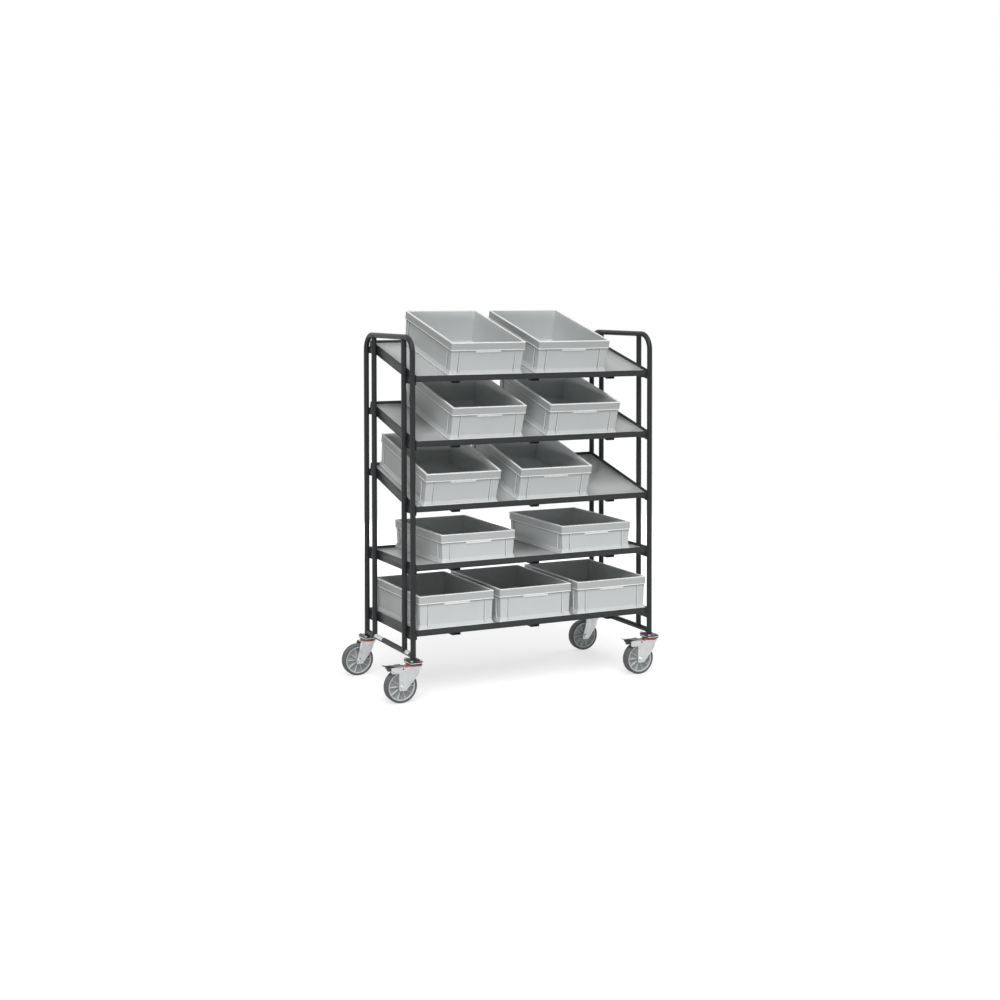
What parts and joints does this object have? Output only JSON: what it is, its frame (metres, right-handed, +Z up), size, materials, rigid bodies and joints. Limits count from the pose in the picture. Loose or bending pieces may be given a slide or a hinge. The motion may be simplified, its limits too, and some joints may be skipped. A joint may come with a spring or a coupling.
{
  "type": "euro box trolley",
  "caption": "Tubular picking trolley on swivel castors, with level and tilted shelves that carry grey stacking boxes; the front castors have foot brakes.",
  "frame": {"origin": "on the floor, under the middle of the frame between the four swivel axes", "axes": "+X along the trolley to the right as seen from the picking side, +Y to the rear, +Z up"},
  "size_m": [1.519, 0.703, 1.8641],
  "materials": {
    "anthracite_powder_coat": "satin powder coat",
    "light_grey_board": "light grey melamine facing",
    "grey_box_plastic": "moulded, satin",
    "zinc_plated_steel": "bright zinc plating",
    "grey_tyre": "grey non-marking rubber",
    "grey_wheel_plastic": "moulded, satin",
    "red_plastic": "moulded",
    "black_plastic": "moulded",
    "white_film": "blank film"
  },
  "bodies": {
    "frame": {"left_hoop": "anthracite_powder_coat", "right_hoop": "anthracite_powder_coat", "inner_uprights": "anthracite_powder_coat", "foot_rails": "anthracite_powder_coat", "castor_mounting_plates": "anthracite_powder_coat", "shelf_straps": "anthracite_powder_coat", "castor_plate_bolts": "zinc_plated_steel", "castor_plate_nuts": "zinc_plated_steel", "castor_top_plates": "zinc_plated_steel", "castor_king_pins": "zinc_plated_steel", "castor_swivel_bearings": "zinc_plated_steel", "shelf_bolts": "zinc_plated_steel", "shelf_nuts": "zinc_plated_steel", "castor_seal_rings": "red_plastic", "rail_labels": "white_film", "bottom_shelf_frame": "anthracite_powder_coat", "bottom_shelf_board": "light_grey_board", "lower_shelf_frame": "anthracite_powder_coat", "lower_shelf_board": "light_grey_board", "middle_shelf_frame": "anthracite_powder_coat", "middle_shelf_board": "light_grey_board", "upper_shelf_frame": "anthracite_powder_coat", "upper_shelf_board": "light_grey_board", "top_shelf_frame": "anthracite_powder_coat", "top_shelf_board": "light_grey_board"},
    "front_left_castor_fork": {"front_left_fork": "zinc_plated_steel", "front_left_axle_bolt": "zinc_plated_steel", "front_left_brake_pin": "zinc_plated_steel"},
    "front_left_castor_wheel": {"front_left_wheel_core": "grey_wheel_plastic", "front_left_tyre": "grey_tyre", "front_left_wheel_bush": "grey_wheel_plastic"},
    "front_left_brake": {"front_left_brake_pedal": "black_plastic"},
    "front_right_castor_fork": {"front_right_fork": "zinc_plated_steel", "front_right_axle_bolt": "zinc_plated_steel", "front_right_brake_pin": "zinc_plated_steel"},
    "front_right_castor_wheel": {"front_right_wheel_core": "grey_wheel_plastic", "front_right_tyre": "grey_tyre", "front_right_wheel_bush": "grey_wheel_plastic"},
    "front_right_brake": {"front_right_brake_pedal": "black_plastic"},
    "rear_left_castor_fork": {"rear_left_fork": "zinc_plated_steel", "rear_left_axle_bolt": "zinc_plated_steel"},
    "rear_left_castor_wheel": {"rear_left_wheel_core": "grey_wheel_plastic", "rear_left_tyre": "grey_tyre", "rear_left_wheel_bush": "grey_wheel_plastic"},
    "rear_right_castor_fork": {"rear_right_fork": "zinc_plated_steel", "rear_right_axle_bolt": "zinc_plated_steel"},
    "rear_right_castor_wheel": {"rear_right_wheel_core": "grey_wheel_plastic", "rear_right_tyre": "grey_tyre", "rear_right_wheel_bush": "grey_wheel_plastic"},
    "top_shelf_left_box": {"top_shelf_left_box": "grey_box_plastic"},
    "top_shelf_right_box": {"top_shelf_right_box": "grey_box_plastic"},
    "upper_shelf_left_box": {"upper_shelf_left_box": "grey_box_plastic"},
    "upper_shelf_right_box": {"upper_shelf_right_box": "grey_box_plastic"},
    "middle_shelf_left_box": {"middle_shelf_left_box": "grey_box_plastic"},
    "middle_shelf_right_box": {"middle_shelf_right_box": "grey_box_plastic"},
    "lower_shelf_left_box": {"lower_shelf_left_box": "grey_box_plastic"},
    "lower_shelf_right_box": {"lower_shelf_right_box": "grey_box_plastic"},
    "bottom_shelf_left_box": {"bottom_shelf_left_box": "grey_box_plastic"},
    "bottom_shelf_middle_box": {"bottom_shelf_middle_box": "grey_box_plastic"},
    "bottom_shelf_right_box": {"bottom_shelf_right_box": "grey_box_plastic"}
  },
  "joints": [
    {"name": "front_left_swivel", "type": "hinge", "parent": "frame", "child": "front_left_castor_fork", "pos_m": [-0.6585, -0.3035, 0.172], "axis": [0, 0, 1], "continuous": true},
    {"name": "front_left_wheel_spin", "type": "hinge", "parent": "front_left_castor_fork", "child": "front_left_castor_wheel", "pos_m": [-0.7255, -0.3035, 0.08], "axis": [0, 1, 0], "continuous": true},
    {"name": "front_left_brake_press", "type": "hinge", "parent": "front_left_castor_fork", "child": "front_left_brake", "pos_m": [-0.7215, -0.3035, 0.167], "axis": [0, -1, 0], "range_deg": [0, 8]},
    {"name": "front_right_swivel", "type": "hinge", "parent": "frame", "child": "front_right_castor_fork", "pos_m": [0.6585, -0.3035, 0.172], "axis": [0, 0, 1], "continuous": true},
    {"name": "front_right_wheel_spin", "type": "hinge", "parent": "front_right_castor_fork", "child": "front_right_castor_wheel", "pos_m": [0.5915, -0.3035, 0.08], "axis": [0, 1, 0], "continuous": true},
    {"name": "front_right_brake_press", "type": "hinge", "parent": "front_right_castor_fork", "child": "front_right_brake", "pos_m": [0.5955, -0.3035, 0.167], "axis": [0, -1, 0], "range_deg": [0, 8]},
    {"name": "rear_left_swivel", "type": "hinge", "parent": "frame", "child": "rear_left_castor_fork", "pos_m": [-0.6585, 0.3035, 0.172], "axis": [0, 0, 1], "continuous": true},
    {"name": "rear_left_wheel_spin", "type": "hinge", "parent": "rear_left_castor_fork", "child": "rear_left_castor_wheel", "pos_m": [-0.7135, 0.3035, 0.08], "axis": [0, 1, 0], "continuous": true},
    {"name": "rear_right_swivel", "type": "hinge", "parent": "frame", "child": "rear_right_castor_fork", "pos_m": [0.6585, 0.3035, 0.172], "axis": [0, 0, 1], "continuous": true},
    {"name": "rear_right_wheel_spin", "type": "hinge", "parent": "rear_right_castor_fork", "child": "rear_right_castor_wheel", "pos_m": [0.6035, 0.3035, 0.08], "axis": [0, 1, 0], "continuous": true},
    {"name": "top_shelf_left_box_lift", "type": "slide", "parent": "frame", "child": "top_shelf_left_box", "axis": [0, -0.2504, 0.9681], "range_m": [0, 0.3]},
    {"name": "top_shelf_right_box_lift", "type": "slide", "parent": "frame", "child": "top_shelf_right_box", "axis": [0, -0.2504, 0.9681], "range_m": [0, 0.3]},
    {"name": "upper_shelf_left_box_lift", "type": "slide", "parent": "frame", "child": "upper_shelf_left_box", "axis": [0, -0.2504, 0.9681], "range_m": [0, 0.09]},
    {"name": "upper_shelf_right_box_lift", "type": "slide", "parent": "frame", "child": "upper_shelf_right_box", "axis": [0, -0.2504, 0.9681], "range_m": [0, 0.09]},
    {"name": "middle_shelf_left_box_lift", "type": "slide", "parent": "frame", "child": "middle_shelf_left_box", "axis": [0, -0.2504, 0.9681], "range_m": [0, 0.09]},
    {"name": "middle_shelf_right_box_lift", "type": "slide", "parent": "frame", "child": "middle_shelf_right_box", "axis": [0, -0.2504, 0.9681], "range_m": [0, 0.09]},
    {"name": "lower_shelf_left_box_lift", "type": "slide", "parent": "frame", "child": "lower_shelf_left_box", "axis": [0, 0, 1], "range_m": [0, 0.09]},
    {"name": "lower_shelf_right_box_lift", "type": "slide", "parent": "frame", "child": "lower_shelf_right_box", "axis": [0, 0, 1], "range_m": [0, 0.09]},
    {"name": "bottom_shelf_left_box_lift", "type": "slide", "parent": "frame", "child": "bottom_shelf_left_box", "axis": [0, 0, 1], "range_m": [0, 0.09]},
    {"name": "bottom_shelf_middle_box_lift", "type": "slide", "parent": "frame", "child": "bottom_shelf_middle_box", "axis": [0, 0, 1], "range_m": [0, 0.09]},
    {"name": "bottom_shelf_right_box_lift", "type": "slide", "parent": "frame", "child": "bottom_shelf_right_box", "axis": [0, 0, 1], "range_m": [0, 0.09]}
  ]
}
